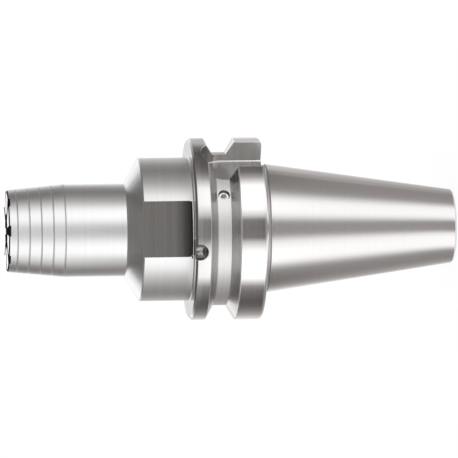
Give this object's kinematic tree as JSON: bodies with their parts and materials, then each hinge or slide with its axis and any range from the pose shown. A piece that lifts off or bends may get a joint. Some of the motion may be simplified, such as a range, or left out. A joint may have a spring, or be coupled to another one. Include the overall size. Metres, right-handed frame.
{
  "type": "hydraulic expansion chuck",
  "caption": "Steep-taper tool holder with a hydraulic expansion sleeve that grips a straight tool shank when its clamping screw is turned.",
  "frame": {"origin": "centre of the small end face of the taper, on which the chuck stands", "axes": "+Z along the spindle axis towards the tool end, +X through the middle of one drive slot"},
  "size_m": [0.063, 0.063, 0.1554],
  "materials": {
    "ground_steel": "turned and ground, bright",
    "sleeve_steel": "fine turned",
    "black_oxide_steel": "black oxide",
    "ball_steel": "polished",
    "plug_steel": "plain bright",
    "seal_rubber": "smooth"
  },
  "bodies": {
    "chuck": {"chuck_body": "ground_steel", "expansion_sleeve": "sleeve_steel", "bleed_screw": "black_oxide_steel", "bleed_ball": "ball_steel", "groove_plug_1": "plug_steel", "groove_plug_2": "plug_steel", "port_screw_1": "black_oxide_steel", "port_screw_2": "black_oxide_steel"},
    "piston": {"clamping_piston": "sleeve_steel", "piston_seal": "seal_rubber"},
    "clamping_screw": {"clamping_screw": "black_oxide_steel"},
    "stop_screw": {"stop_screw": "black_oxide_steel"}
  },
  "joints": [
    {"name": "piston_slide", "type": "slide", "parent": "chuck", "child": "piston", "axis": [-0.8387, -0.5446, 0], "range_m": [0, 0.0045]},
    {"name": "screw_turn", "type": "hinge", "parent": "piston", "child": "clamping_screw", "pos_m": [-0.00762, 0.01174, 0.1005], "axis": [-0.8387, -0.5446, 0], "range_deg": [0, 1620]},
    {"name": "stop_travel", "type": "slide", "parent": "chuck", "child": "stop_screw", "axis": [0, 0, 1], "range_m": [0, 0.01]}
  ],
  "couplings": [
    {"joint": "screw_turn", "follows": "piston_slide", "rad_per_m": 6283.2}
  ]
}
